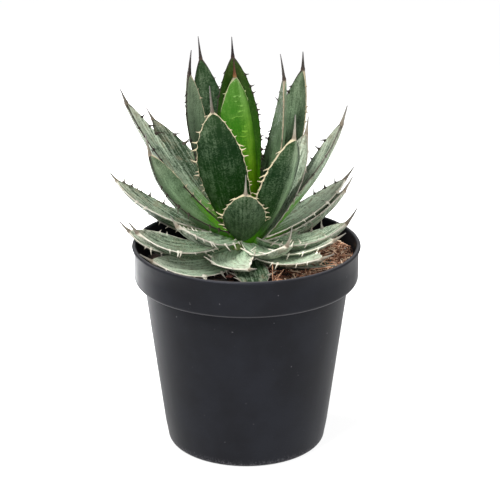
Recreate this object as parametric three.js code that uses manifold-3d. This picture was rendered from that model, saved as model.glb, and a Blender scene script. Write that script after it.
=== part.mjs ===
// Potted agave horrida: a spiral rosette of stiff toothed leaves on a short stem, in a round nursery pot.
// Lengths are millimetres and turns are degrees. The origin is the centre of the pot's flat base, +Z is up
// and the front of the plant looks along -Y.

import * as THREE from 'three';
import { mergeVertices } from 'three/addons/utils/BufferGeometryUtils.js';
import Module from 'manifold-3d';

// Every piece stays this far from the one it touches.
const GAP = 0.3;

// Pot: a tapering body, then a wider band that ends in a small rounded lip.
const POT_HEIGHT = 157;
const LIP_RADIUS = 85;
const LIP_HEIGHT = 3;
const BAND_RADIUS = 83.6;
const BAND_HEIGHT = 28.5;
const BAND_ROUND = 4;
const BODY_TOP_RADIUS = 76.6;
const FOOT_RADIUS = 60;
const FOOT_ROUND = 4.4;
const WALL = 2;
const FLOOR = 2.6;
const POT_SIDES = 36;
const ROUND_STEPS = 3;
const DRAIN_HOLES = 6;
const DRAIN_RADIUS = 4.5;
const DRAIN_CIRCLE = 38;
const DRAIN_SIDES = 10;

// Soil: fills the pot to a little above the band's foot, is heaped towards the stem, and has been raked up
// against the wall at the right.
const SOIL_EDGE_HEIGHT = 134;
const SOIL_HEAP = 4;
const SOIL_BUMP = 1;
const RAKED_HEIGHT = 8;
const RAKED_TURN = 0.25;
const RAKED_SPREAD = 0.25;
const RAKED_OUT = 0.85;
const RAKED_REACH = 0.28;
const SOIL_RINGS = 4;
const SOIL_SIDES = 26;

// Stem: a short post with a domed top, on which the leaves sit.
const STEM_X = -2;
const STEM_BOTTOM = 118;
const STEM_RADIUS = 12;
const DOME_BOTTOM = 148;
const DOME_HEIGHT = 23;
const DOME_STEPS = 4;
const STEM_CHAMFER = 1;
const STEM_SIDES = 14;

// Leaves: the shape that they all share.
const WIDEST_AT = 0.5;
const FOOT_WIDTH = 0.66;
const TIP_BLUNTNESS = 0.78;
const FOOT_THICKNESS = 5;
const TIP_THICKNESS = 2.6;
const EDGE_THICKNESS = 1;
const SPINE_RADIUS = 1.4;
const SPINE_POINT = 0.35;
const FOOT_SUNK = 3;
const BLADE_STEPS = 8;
const TIPWARD_STEPS = 1.25;
const SPINE_STEPS = 2;
const CURVE_PIECES = 24;
const ACROSS = [-1, -0.42, 0.42, 1];

// Marginal teeth: hooked prickles along both edges of every leaf.
const TOOTH_PITCH = 11;
const TOOTH_HEIGHT = 3;
const TOOTH_WIDTH = 2.8;
const TOOTH_ROOT = 1.2;
const TOOTH_THICKNESS = 0.7;
const TOOTH_UNEVEN_STEP = 0.25;
const TOOTH_UNEVEN_HEIGHT = 0.25;
const TOOTH_HOOK_DOWN = 1.1;
const TOOTH_HOOK_UP = 0.5;
const TOOTH_SEED = 97;
const TOOTHLESS_FOOT = 0.12;
const TOOTHLESS_TIP = 0.9;

const COLOURS = {
  pot: 0x38393d,
  soil: 0x5e3c2b,
  stem: 0x8aa06a,
  young: 0x69a03c,
  inner: 0x2f5233,
  outer: 0x7f9a80,
};
const ROUGHNESS = { pot: 0.45, soil: 0.95, stem: 0.7, leaf: 0.6 };

// One entry for each leaf, from the heart outwards. turn is the compass direction it grows in, foot its
// height on the stem, lift its slope at the foot, tipLift its slope at the tip, long and wide its blade,
// spine the spine's length, cup how deep its channel is, sway its sideways bend, roll its turn about its own
// length, and twist how much that turn grows towards the tip.
const LEAVES = [
  { turn: -55, foot: 168.4, lift: 98, tipLift: 96, long: 114, wide: 32, spine: 13, cup: 0.25, sway: -2,
    roll: -4, twist: -4, tone: 'young' },
  { turn: 119, foot: 167.5, lift: 85, tipLift: 84, long: 128, wide: 36, spine: 14, cup: 0.17, sway: 1,
    roll: 4, twist: -14, tone: 'young' },
  { turn: -135, foot: 165.1, lift: 68, tipLift: 81, long: 103, wide: 35, spine: 19, cup: 0.23, sway: 6,
    roll: 19, twist: 29, tone: 'inner' },
  { turn: 36, foot: 165.4, lift: 56, tipLift: 94, long: 117, wide: 33, spine: 19, cup: 0.2, sway: -8,
    roll: -9, twist: -12, tone: 'inner' },
  { turn: -89, foot: 163.7, lift: 25, tipLift: 73, long: 63, wide: 31, spine: 15, cup: 0.38, sway: 3,
    tone: 'inner' },
  { turn: 149, foot: 161, lift: 51, tipLift: 92, long: 127, wide: 34, spine: 18, cup: 0.23, sway: -5,
    roll: 26, twist: -22, tone: 'inner' },
  { turn: -40, foot: 161.5, lift: 46, tipLift: 83, long: 96, wide: 36, spine: 17, cup: 0.35, sway: -2,
    roll: 9, twist: -22, tone: 'inner' },
  { turn: 114, foot: 160, lift: 45, tipLift: 73, long: 141, wide: 32, spine: 16, cup: 0.26, sway: 1,
    roll: -1, twist: -2, tone: 'inner' },
  { turn: -168, foot: 163.2, lift: 18, tipLift: 74, long: 93, wide: 33, spine: 16, cup: 0.33, sway: -13,
    roll: 2, twist: -29, tone: 'inner' },
  { turn: 46, foot: 159.1, lift: 43, tipLift: 87, long: 134, wide: 34, spine: 13, cup: 0.37, sway: -1,
    roll: -9, twist: 7, tone: 'inner' },
  { turn: 7, foot: 158.5, lift: 49, tipLift: 80, long: 90, wide: 31, spine: 13, cup: 0.23, sway: 3,
    roll: 17, twist: 13, tone: 'outer' },
  { turn: 25, foot: 158.8, lift: 29, tipLift: 66, long: 110, wide: 33, spine: 14, cup: 0.28, sway: 2,
    roll: -30, twist: 17, tone: 'outer' },
  { turn: 92, foot: 157, lift: 38, tipLift: 48, long: 112, wide: 34, spine: 14, cup: 0.3, tone: 'inner' },
  { turn: 155, foot: 159, lift: 33, tipLift: 58, long: 131, wide: 33, spine: 11, cup: 0.3, sway: -6,
    roll: 25, twist: -11, tone: 'outer' },
  { turn: 129, foot: 156, lift: 30, tipLift: 37, long: 128, wide: 32, spine: 12, cup: 0.24, sway: -2,
    roll: 6, tone: 'outer' },
  { turn: -51, foot: 161.4, lift: -32, tipLift: 53, long: 51, wide: 29, spine: 17, cup: 0.15, sway: -6,
    roll: -4, twist: 6, tone: 'outer' },
  { turn: -12, foot: 161.6, lift: -24, tipLift: 50, long: 77, wide: 32, spine: 15, cup: 0.3, roll: -13,
    twist: 21, tone: 'outer' },
  { turn: 37, foot: 156.1, lift: 2, tipLift: 32, long: 100, wide: 32, spine: 13, cup: 0.3, sway: 8,
    roll: -8, twist: -7, tone: 'outer' },
  { turn: 151, foot: 158.3, lift: -6, tipLift: 35, long: 113, wide: 33, spine: 11, cup: 0.28, sway: -6,
    roll: 22, twist: -13, tone: 'outer' },
  { turn: -131, foot: 163.5, lift: -2, tipLift: 45, long: 76, wide: 23, spine: 12, cup: 0.24, sway: 6,
    roll: -15, twist: 3, tone: 'outer' },
  { turn: 68, foot: 155, lift: 26, tipLift: 34, long: 104, wide: 34, spine: 13, cup: 0.28, tone: 'outer' },
  { turn: -157, foot: 159.1, lift: -20, tipLift: 47, long: 83, wide: 31, spine: 13, cup: 0.3, sway: 4,
    roll: 14, twist: -32, tone: 'outer' },
  { turn: -24, foot: 151.7, lift: -1, tipLift: 32, long: 66, wide: 25, spine: 11, cup: 0.15, sway: 1,
    roll: -10, twist: 21, tone: 'outer' },
  { turn: 106, foot: 155, lift: 13, tipLift: 20, long: 106, wide: 34, spine: 13, cup: 0.28,
    tone: 'outer' },
  { turn: 140, foot: 153, lift: 0, tipLift: 16, long: 100, wide: 31, spine: 12, cup: 0.2, tone: 'outer' },
  { turn: 28, foot: 151.7, lift: -2, tipLift: 44, long: 88, wide: 30, spine: 13, cup: 0.28, sway: 7,
    roll: -24, twist: -2, tone: 'outer' },
  { turn: -181, foot: 152, lift: -21, tipLift: 40, long: 81, wide: 37, spine: 12, cup: 0.29, sway: -3,
    roll: 19, twist: -34, tone: 'outer' },
  { turn: -41, foot: 150.9, lift: -4, tipLift: 24, long: 67, wide: 30, spine: 12, cup: 0.14, sway: 1,
    roll: -9, twist: 18, tone: 'outer' },
  { turn: 82, foot: 152, lift: 4, tipLift: 16, long: 100, wide: 34, spine: 12, cup: 0.26, tone: 'outer' },
  { turn: -122, foot: 154.2, lift: -9, tipLift: 6, long: 44, wide: 30, spine: 6, cup: 0.21, sway: 90,
    roll: 10, twist: -9, tone: 'outer' },
  { turn: -149, foot: 146, lift: -14, tipLift: 30, long: 68, wide: 34, spine: 11, cup: 0.12, sway: -8,
    roll: -7, twist: -4, tone: 'outer' },
  { turn: -81, foot: 147.5, lift: -3, tipLift: -7, long: 56, wide: 25, spine: 10, cup: 0.14,
    tone: 'outer' },
  { turn: -18, foot: 146.5, lift: -8, tipLift: 10, long: 64, wide: 22, spine: 9, cup: 0.12,
    tone: 'outer' },
];

const wasm = await Module();
wasm.setup();

// A small seeded generator of numbers between 0 and 1, so that every build gives the same plant.
function seededNumbers(seed) {
  let state = seed;
  return () => {
    state = (state * 1664525 + 1013904223) % 4294967296;
    return state / 4294967296;
  };
}

const radians = THREE.MathUtils.degToRad;
const blend = THREE.MathUtils.lerp;
const limit = THREE.MathUtils.clamp;

function toSolid(geometry) {
  const bare = geometry.clone();
  bare.deleteAttribute('normal');
  bare.deleteAttribute('uv');
  const merged = mergeVertices(bare, 1e-4);
  const vertProperties = new Float32Array(merged.getAttribute('position').array);
  const triVerts = new Uint32Array(merged.getIndex().array);
  return new wasm.Manifold(new wasm.Mesh({ numProp: 3, vertProperties, triVerts }));
}

function toGeometry(solid) {
  const mesh = solid.getMesh();
  const geometry = new THREE.BufferGeometry();
  geometry.setAttribute('position', new THREE.BufferAttribute(new Float32Array(mesh.vertProperties), 3));
  geometry.setIndex(new THREE.BufferAttribute(new Uint32Array(mesh.triVerts), 1));
  geometry.computeVertexNormals();
  return geometry;
}

function largestBody(solid) {
  return solid.decompose().reduce((best, body) => (body.volume() > best.volume() ? body : best));
}

// A turned body about the vertical line at x, from an outline of [radius, height] points, lowest point first
// up the outside, that starts and ends on the axis.
function turned(outline, sides, x = 0) {
  const points = outline.map(([radius, height]) => new THREE.Vector2(radius, height));
  const geometry = new THREE.LatheGeometry(points, sides);
  geometry.rotateX(Math.PI / 2);
  geometry.translate(x, 0, 0);
  return toSolid(geometry);
}

// Points on a round corner, from one compass direction to another in the outline's plane.
function corner(radius, height, round, fromTurn, toTurn, steps) {
  return Array.from({ length: steps + 1 }, (_, i) => {
    const angle = radians(blend(fromTurn, toTurn, i / steps));
    return [radius + round * Math.cos(angle), height + round * Math.sin(angle)];
  });
}

// The outside radius of the pot's body at a height below the band.
function bodyRadius(height) {
  return blend(FOOT_RADIUS, BODY_TOP_RADIUS, height / (POT_HEIGHT - BAND_HEIGHT));
}

// The pot's inner wall and floor as [radius, height] points, from the lip down to the middle of the floor.
function potInside() {
  const bandFoot = POT_HEIGHT - BAND_HEIGHT;
  const middle = [BAND_RADIUS - BAND_ROUND, bandFoot + BAND_ROUND + WALL];
  return [
    [BAND_RADIUS - WALL, POT_HEIGHT - LIP_HEIGHT],
    ...corner(...middle, BAND_ROUND - WALL, 0, -60, ROUND_STEPS - 1),
    [BODY_TOP_RADIUS - WALL, bandFoot + WALL],
    [bodyRadius(FLOOR) - WALL, FLOOR],
    [0, FLOOR],
  ];
}

function makePot() {
  const bandFoot = POT_HEIGHT - BAND_HEIGHT;
  const lipRound = (LIP_RADIUS - BAND_RADIUS + WALL) / 2;
  const outline = [
    [0, 0],
    ...corner(FOOT_RADIUS - FOOT_ROUND, FOOT_ROUND, FOOT_ROUND, -90, 0, ROUND_STEPS),
    [BODY_TOP_RADIUS, bandFoot],
    ...corner(BAND_RADIUS - BAND_ROUND, bandFoot + BAND_ROUND, BAND_ROUND, -70, 0, ROUND_STEPS),
    [BAND_RADIUS, POT_HEIGHT - LIP_HEIGHT],
    ...corner(LIP_RADIUS - lipRound, POT_HEIGHT - lipRound, lipRound, 0, 180, ROUND_STEPS + 1),
    ...potInside(),
  ];
  let pot = turned(outline, POT_SIDES);
  for (let i = 0; i < DRAIN_HOLES; i += 1) {
    const angle = (2 * Math.PI * i) / DRAIN_HOLES;
    const drill = new THREE.CylinderGeometry(DRAIN_RADIUS, DRAIN_RADIUS, 3 * FLOOR, DRAIN_SIDES);
    drill.rotateX(Math.PI / 2);
    drill.translate(DRAIN_CIRCLE * Math.cos(angle), DRAIN_CIRCLE * Math.sin(angle), 0);
    pot = pot.subtract(toSolid(drill));
  }
  return pot;
}

// Height of the soil's uneven top at a place, as a share of the way out and a compass direction.
function soilTop(out, angle) {
  const heap = SOIL_HEAP * (1 - out * out);
  const bumps = Math.sin(3 * angle + 1) * Math.cos(5 * out * Math.PI) + Math.sin(7 * angle + 6 * out);
  const turnedAway = (Math.cos(angle - RAKED_TURN) - 1) / RAKED_SPREAD;
  const raked = RAKED_HEIGHT * Math.exp(turnedAway - ((out - RAKED_OUT) / RAKED_REACH) ** 2);
  return SOIL_EDGE_HEIGHT + heap + raked + SOIL_BUMP * bumps * out;
}

function makeSoil() {
  const walls = potInside().reverse().map(([radius, height]) => [Math.max(radius - GAP, 0), height + GAP]);
  const column = turned([...walls, [0, POT_HEIGHT]], POT_SIDES);
  const lid = POT_HEIGHT + SOIL_HEAP;
  const positions = [];
  const index = [];
  const ring = (i) => 1 + i * SOIL_SIDES;
  positions.push(STEM_X, 0, SOIL_EDGE_HEIGHT + SOIL_HEAP);
  for (let i = 0; i < SOIL_RINGS; i += 1) {
    const out = (i + 1) / SOIL_RINGS;
    for (let j = 0; j < SOIL_SIDES; j += 1) {
      const angle = (2 * Math.PI * j) / SOIL_SIDES;
      const radius = out * LIP_RADIUS;
      positions.push(radius * Math.cos(angle), radius * Math.sin(angle), soilTop(out, angle));
    }
  }
  for (let j = 0; j < SOIL_SIDES; j += 1) {
    const angle = (2 * Math.PI * j) / SOIL_SIDES;
    positions.push(LIP_RADIUS * Math.cos(angle), LIP_RADIUS * Math.sin(angle), lid);
  }
  const above = positions.length / 3;
  positions.push(0, 0, lid);
  for (let j = 0; j < SOIL_SIDES; j += 1) {
    const next = (j + 1) % SOIL_SIDES;
    index.push(0, ring(0) + next, ring(0) + j);
    for (let i = 0; i < SOIL_RINGS; i += 1) {
      const a = ring(i) + j;
      const b = ring(i) + next;
      const c = ring(i + 1) + j;
      const d = ring(i + 1) + next;
      index.push(a, b, c, b, d, c);
    }
    index.push(above, ring(SOIL_RINGS) + j, ring(SOIL_RINGS) + next);
  }
  const air = new THREE.BufferGeometry();
  air.setAttribute('position', new THREE.Float32BufferAttribute(positions, 3));
  air.setIndex(index);
  return column.subtract(toSolid(air));
}

// Radius of the stem at a height, and of anything that keeps a distance from it.
function stemRadius(height) {
  const up = limit((height - DOME_BOTTOM) / DOME_HEIGHT, 0, 1);
  return STEM_RADIUS * Math.sqrt(1 - up * up);
}

function makeStem(extra = 0) {
  const dome = corner(0, 0, 1, 0, 90, DOME_STEPS).map(([across, up]) => [
    across * (STEM_RADIUS + extra),
    DOME_BOTTOM + up * (DOME_HEIGHT + extra),
  ]);
  dome[dome.length - 1][0] = 0;
  return turned([
    [0, STEM_BOTTOM - extra],
    [STEM_RADIUS - STEM_CHAMFER + extra, STEM_BOTTOM - extra],
    ...dome,
  ], STEM_SIDES, STEM_X);
}

// Half the width of a blade at a share of its length: a broad foot, the widest place, and a pointed tip.
function halfWidth(leaf, share) {
  if (share < WIDEST_AT) {
    const rise = Math.sin((Math.PI / 2) * (share / WIDEST_AT));
    return (leaf.wide / 2) * blend(FOOT_WIDTH, 1, rise);
  }
  const left = limit((1 - share) / (1 - WIDEST_AT), 0, 1);
  const fall = Math.sin((Math.PI / 2) * left ** TIP_BLUNTNESS);
  return Math.max((leaf.wide / 2) * fall, SPINE_RADIUS);
}

// Where a leaf's middle line is at a share of its blade, with its directions along, across and upward.
// Shares above 1 run on into the spine, which keeps the leaf's curve.
function leafPlaces(leaf, shares) {
  const { turn, foot, lift, tipLift, long, sway = 0, roll = 0, twist = 0 } = leaf;
  const start = Math.max(stemRadius(foot) - FOOT_SUNK, 0.5);
  const place = new THREE.Vector3(
    STEM_X + start * Math.cos(radians(turn)),
    start * Math.sin(radians(turn)),
    foot,
  );
  const heading = (share) => {
    const slope = radians(blend(lift, tipLift, share));
    const way = radians(turn + sway * share);
    return new THREE.Vector3(
      Math.cos(slope) * Math.cos(way),
      Math.cos(slope) * Math.sin(way),
      Math.sin(slope),
    );
  };
  let at = 0;
  return shares.map((share) => {
    const pieces = Math.max(1, Math.ceil((share - at) * CURVE_PIECES));
    for (let i = 0; i < pieces; i += 1) {
      const middle = at + ((i + 0.5) * (share - at)) / pieces;
      place.addScaledVector(heading(middle), (long * (share - at)) / pieces);
    }
    at = share;
    const along = heading(share);
    const way = radians(turn + sway * share);
    const side = new THREE.Vector3(-Math.sin(way), Math.cos(way), 0);
    const turnAbout = radians(roll + twist * Math.min(share, 1));
    side.applyAxisAngle(along, turnAbout);
    const up = new THREE.Vector3().crossVectors(along, side);
    return { centre: place.clone(), along, side, up, share };
  });
}

// One ring of points round a blade or spine: across the channelled upper face, then back under the keel.
// The extra distance grows the ring on every side.
function leafRing(leaf, spot, extra) {
  const { centre, side, up, share } = spot;
  const past = Math.max(share - 1, 0) * leaf.long;
  const shrink = blend(1, SPINE_POINT, limit(past / leaf.spine, 0, 1));
  const half = halfWidth(leaf, share) * shrink;
  const thick = blend(FOOT_THICKNESS, TIP_THICKNESS, Math.min(share, 1)) * shrink;
  const edge = Math.min(EDGE_THICKNESS, half) * shrink;
  const depth = leaf.cup * half;
  const point = (across, height) => centre.clone()
    .addScaledVector(side, across * (half + extra))
    .addScaledVector(up, height);
  const face = ACROSS.map((across) => point(across, depth * across * across + extra));
  const keel = ACROSS.map((across) => {
    const under = edge + (thick - edge) * (1 - across * across);
    return point(across, depth * across * across - under - extra);
  });
  return [...face, ...keel.reverse()];
}

// The blade and spine of one leaf as a closed body of rings.
function leafBlade(leaf, extra = 0) {
  const shares = [];
  for (let i = 0; i <= BLADE_STEPS; i += 1) {
    const even = i / BLADE_STEPS;
    shares.push(1 - (1 - even) ** TIPWARD_STEPS);
  }
  const spineShare = (leaf.spine + extra) / leaf.long;
  for (let i = 1; i <= SPINE_STEPS; i += 1) {
    shares.push(1 + (spineShare * i) / SPINE_STEPS);
  }
  shares[0] = -extra / leaf.long;
  const rings = leafPlaces(leaf, shares).map((spot) => leafRing(leaf, spot, extra));
  const around = rings[0].length;
  const positions = rings.flat().flatMap((point) => point.toArray());
  const index = [];
  for (let i = 0; i + 1 < rings.length; i += 1) {
    for (let j = 0; j < around; j += 1) {
      const next = (j + 1) % around;
      const a = i * around + j;
      const b = i * around + next;
      const c = a + around;
      const d = b + around;
      // The split runs the other way underneath, so that both faces have like triangles.
      if (j < around / 2) {
        index.push(a, c, b, b, c, d);
      } else {
        index.push(a, d, b, a, c, d);
      }
    }
  }
  const last = (rings.length - 1) * around;
  // Both ends are closed by strips between the upper face and the keel.
  for (let j = 0; j + 1 < around / 2; j += 1) {
    const upper = j;
    const lower = around - 1 - j;
    index.push(upper, upper + 1, lower, upper + 1, lower - 1, lower);
    index.push(last + upper, last + lower, last + upper + 1);
    index.push(last + upper + 1, last + lower, last + lower - 1);
  }
  const geometry = new THREE.BufferGeometry();
  geometry.setAttribute('position', new THREE.Float32BufferAttribute(positions, 3));
  geometry.setIndex(index);
  return toSolid(geometry);
}

// The teeth of one leaf: small three-sided prickles at uneven steps along both edges, hooked towards the
// foot or the tip.
function leafTeeth(leaf, number) {
  const random = seededNumbers(TOOTH_SEED * (number + 1));
  const teeth = [];
  const count = Math.round((leaf.long * (TOOTHLESS_TIP - TOOTHLESS_FOOT)) / TOOTH_PITCH);
  for (const hand of [-1, 1]) {
    for (let i = 0; i < count; i += 1) {
      const even = (i + 0.5 + TOOTH_UNEVEN_STEP * (2 * random() - 1)) / count;
      const share = blend(TOOTHLESS_FOOT, TOOTHLESS_TIP, even);
      const [spot] = leafPlaces(leaf, [share]);
      const half = halfWidth(leaf, share);
      const hook = blend(-TOOTH_HOOK_DOWN, TOOTH_HOOK_UP, random());
      const height = TOOTH_HEIGHT * (1 + TOOTH_UNEVEN_HEIGHT * (2 * random() - 1));
      teeth.push({ leaf, spot, half, hand, hook, height });
    }
  }
  return teeth;
}

function toothBody({ leaf, spot, half, hand, hook, height }, extra = 0) {
  const outward = spot.side.clone().multiplyScalar(hand);
  const rise = 2 * leaf.cup;
  const out = outward.addScaledVector(spot.up, rise).normalize();
  const edge = spot.centre.clone()
    .addScaledVector(spot.side, hand * half)
    .addScaledVector(spot.up, leaf.cup * half - EDGE_THICKNESS / 2);
  const root = edge.clone().addScaledVector(out, -TOOTH_ROOT - extra);
  const wide = TOOTH_WIDTH / 2 + extra;
  const thick = TOOTH_THICKNESS / 2 + extra;
  const corners = [
    root.clone().addScaledVector(spot.along, wide).addScaledVector(spot.up, thick / 2),
    root.clone().addScaledVector(spot.along, -wide).addScaledVector(spot.up, thick / 2),
    root.clone().addScaledVector(spot.up, -thick),
    edge.clone().addScaledVector(out, height + extra).addScaledVector(spot.along, hook),
  ];
  const geometry = new THREE.BufferGeometry();
  const positions = corners.flatMap((point) => point.toArray());
  geometry.setAttribute('position', new THREE.Float32BufferAttribute(positions, 3));
  const handed = [0, 1, 2, 0, 3, 1, 1, 3, 2, 2, 3, 0];
  geometry.setIndex(hand > 0 ? handed : handed.reverse());
  return toSolid(geometry);
}

function boxesMeet(one, other) {
  return [0, 1, 2].every((k) => one.min[k] < other.max[k] && other.min[k] < one.max[k]);
}

function meets(one, other) {
  return boxesMeet(one.boundingBox(), other.boundingBox()) && one.intersect(other).volume() > 0;
}

// Cuts each blade clear of the stem and of the leaves further in, then grows its teeth wherever they come
// clear of everything else.
function makeLeaves(stemRoom, ground) {
  const blades = LEAVES.map((leaf) => leafBlade(leaf));
  const grown = LEAVES.map((leaf) => leafBlade(leaf, GAP));
  const cut = blades.map((blade, i) => {
    let rest = blade;
    for (const neighbour of [stemRoom, ...grown.slice(0, i)]) {
      if (meets(rest, neighbour)) {
        rest = rest.subtract(neighbour);
      }
    }
    return largestBody(rest);
  });
  const finished = [...cut];
  LEAVES.forEach((leaf, i) => {
    for (const tooth of leafTeeth(leaf, i)) {
      const reach = toothBody(tooth, GAP);
      const others = [stemRoom, ...ground, ...finished.filter((_, j) => j !== i)];
      if (!others.some((other) => meets(reach, other)) && meets(toothBody(tooth), cut[i])) {
        finished[i] = finished[i].add(toothBody(tooth));
      }
    }
    finished[i] = largestBody(finished[i]);
  });
  return finished;
}

function named(name, solid, colour, roughness) {
  const material = new THREE.MeshStandardMaterial({ color: colour, roughness, metalness: 0 });
  const mesh = new THREE.Mesh(toGeometry(solid), material);
  mesh.name = name;
  return mesh;
}

const group = new THREE.Group();
const pot = makePot();
const stem = makeStem();
const stemRoom = makeStem(GAP);
const soil = makeSoil().subtract(stemRoom);
group.add(named('pot', pot, COLOURS.pot, ROUGHNESS.pot));
group.add(named('soil', soil, COLOURS.soil, ROUGHNESS.soil));
group.add(named('stem', stem, COLOURS.stem, ROUGHNESS.stem));
makeLeaves(stemRoom, [soil, pot]).forEach((leaf, i) => {
  const number = String(i + 1).padStart(2, '0');
  group.add(named(`leaf_${number}`, leaf, COLOURS[LEAVES[i].tone], ROUGHNESS.leaf));
});

export default group;
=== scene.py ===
# %% [markdown]
# A potted agave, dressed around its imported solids
#
# This script turns plain solids into a finished looking plant. The solids come as a fixed frame, in metres,
# with the centre of the pot's base at the origin and +Z up. Each leaf, the soil and the pot get a finer
# piece that keeps the solid's form and stands in its place, so what is seen and what collides stay in
# step. The frame is loaded before anything is made.

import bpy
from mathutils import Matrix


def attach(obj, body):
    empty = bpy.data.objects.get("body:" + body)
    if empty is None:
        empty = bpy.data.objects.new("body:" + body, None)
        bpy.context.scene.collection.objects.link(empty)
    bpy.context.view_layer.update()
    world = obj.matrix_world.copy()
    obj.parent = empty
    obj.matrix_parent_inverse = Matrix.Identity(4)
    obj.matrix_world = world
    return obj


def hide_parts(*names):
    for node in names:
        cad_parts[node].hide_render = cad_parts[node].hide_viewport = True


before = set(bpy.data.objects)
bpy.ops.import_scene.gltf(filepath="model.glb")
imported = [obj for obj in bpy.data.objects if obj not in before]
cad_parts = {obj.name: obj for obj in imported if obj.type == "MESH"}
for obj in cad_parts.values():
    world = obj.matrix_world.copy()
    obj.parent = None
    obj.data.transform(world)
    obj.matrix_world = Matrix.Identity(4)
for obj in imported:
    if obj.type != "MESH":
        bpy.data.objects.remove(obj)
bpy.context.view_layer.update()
print("solids in the frame:", len(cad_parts))

# %% [markdown]
# Everything else that the script needs is part of Blender: bpy builds objects, numpy works on many points
# at once, and mathutils has smooth noise. Every source of random numbers has a fixed seed, so that each run
# grows the same plant.

# %% Modules and units
from collections import namedtuple
from math import cos, pi, radians, sin, sqrt
from random import Random

import bpy
import numpy as np
from mathutils import Vector, noise

MM = 0.001
print("one millimetre is", MM, "of a Blender unit")

# %% [markdown]
# The camera
#
# A product photographer looks slightly down on a plant from far away, so that the pot hardly tapers. The
# angle, the distance and the focal length were worked out from how round the pot's rim looks. Blender
# wants the lens in millimetres on a sensor 36 mm wide, so the focal length in pixels is scaled by 36 over
# the picture's width. The Standard view keeps a white table white, where the default one turns it grey.

# %% Camera
LOOK_AT = Vector((2.8, 0.0, 150.5)) * MM
CAMERA_DISTANCE = 1300 * MM
CAMERA_ELEVATION = radians(20)
FOCAL_PIXELS = 1746
PICTURE_PIXELS = 500
SENSOR = 36.0

camera_data = bpy.data.cameras.new("camera")
camera_data.sensor_width = SENSOR
camera_data.lens = FOCAL_PIXELS / PICTURE_PIXELS * SENSOR
camera = bpy.data.objects.new("camera", camera_data)
bpy.context.scene.collection.objects.link(camera)
toward_viewer = Vector((0, -cos(CAMERA_ELEVATION), sin(CAMERA_ELEVATION)))
camera.location = LOOK_AT + CAMERA_DISTANCE * toward_viewer
camera.rotation_euler = (pi / 2 - CAMERA_ELEVATION, 0, 0)
bpy.context.scene.camera = camera
bpy.context.scene.view_settings.view_transform = "Standard"
print("lens", round(camera_data.lens, 1), "mm")

# %% [markdown]
# Small tools for meshes
#
# A mesh is a list of points and a list of faces that name them. Nearly all pieces here are rows of rings
# made by formulas: circle gives the directions once round, and join_rings turns the rings into one closed
# skin. The other helpers make an object from points in millimetres, store numbers for each point that a
# material can read later, and count triangles.

# %% Mesh helpers
def new_piece(name, points, faces, material, smooth=True):
    mesh = bpy.data.meshes.new(name)
    mesh.from_pydata([tuple(p) for p in np.asarray(points) * MM], [], faces)
    mesh.polygons.foreach_set("use_smooth", [smooth] * len(faces))
    mesh.materials.append(material)
    mesh.update()
    piece = bpy.data.objects.new(name, mesh)
    bpy.context.scene.collection.objects.link(piece)
    return piece


def store(piece, name, values):
    values = np.asarray(values, np.float32)
    kind, field = ("FLOAT", "value") if values.ndim == 1 else ("FLOAT_VECTOR", "vector")
    piece.data.attributes.new(name, kind, "POINT").data.foreach_set(field, values.ravel())


def triangles(piece):
    piece.data.calc_loop_triangles()
    return len(piece.data.loop_triangles)


def circle(sides):
    """Cosine and sine of each step once round."""
    return [(cos(2 * pi * k / sides), sin(2 * pi * k / sides)) for k in range(sides)]


def join_rings(rings, sides, first=0, turned_over=False):
    """Faces over rings of points that start at the point numbered first, with a cap at each end."""
    faces = []
    for i in range(rings - 1):
        for k in range(sides):
            a = first + i * sides + k
            b = first + i * sides + (k + 1) % sides
            faces.append((a, b, b + sides, a + sides))
    last = first + (rings - 1) * sides
    faces += [tuple(range(first, first + sides))[::-1], tuple(range(last, last + sides))]
    if turned_over:
        faces = [(face[0], *face[:0:-1]) for face in faces]
    return faces


print("faces of a drum with twelve sides:", len(join_rings(2, 12)))

# %% [markdown]
# Small tools for materials
#
# A material in Blender is a graph of nodes. feed links or sets a node's inputs, add makes a node, and short
# helpers name the steps used most. A socket knows its graph, so only the first nodes are told theirs.
# Colours are easier to pick as the 0 to 255 values of a screen, but a shader works with light, so they are
# changed to linear ones.

# %% Material helpers
def screen(*colour):
    shares = [value / 255 for value in colour]
    linear = [v / 12.92 if v <= 0.04045 else ((v + 0.055) / 1.055) ** 2.4 for v in shares]
    return (*linear, 1.0)


def feed(node, **inputs):
    """Link or set inputs: Base_Color stands for the input called Base Color, and _1 for input number 1."""
    for name, value in inputs.items():
        key = int(name[1:]) if name[1:].isdigit() else name.replace("_", " ")
        if isinstance(value, bpy.types.NodeSocket):
            node.id_data.links.new(value, node.inputs[key])
        else:
            node.inputs[key].default_value = value
    return node


def add(kind, options=None, tree=None, **inputs):
    """A new node, in the given tree or in the one that its first linked input belongs to."""
    sockets = [value for value in inputs.values() if isinstance(value, bpy.types.NodeSocket)]
    node = (tree or sockets[0].id_data).nodes.new("ShaderNode" + kind)
    for option, value in (options or {}).items():
        setattr(node, option, value)
    return feed(node, **inputs)


def math(operation, first, second=0.0, clamp=False):
    return add("Math", {"operation": operation, "use_clamp": clamp}, _0=first, _1=second).outputs[0]


def times(first, second):
    return math("MULTIPLY", first, second)


def plus(first, second, clamp=False):
    return math("ADD", first, second, clamp)


def rest(value):
    """What is left of one."""
    return math("SUBTRACT", 1.0, value)


def swing(value, strength):
    """A value between 0 and 1 as a swing about zero."""
    return times(math("SUBTRACT", value, 0.5), strength)


def mix(share, first, second):
    return add("Mix", {"data_type": "RGBA"}, _0=share, _6=first, _7=second).outputs[2]


def ramp(value, stops):
    """A colour for each value, by stops that pair a value with a screen colour."""
    node = add("ValToRGB", _0=value)
    band = node.color_ramp.elements
    while len(band) < len(stops):
        band.new(0.5)
    for element, (place, colour) in zip(band, stops):
        element.position = place
        element.color = screen(*colour)
    return node.outputs[0]


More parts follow.
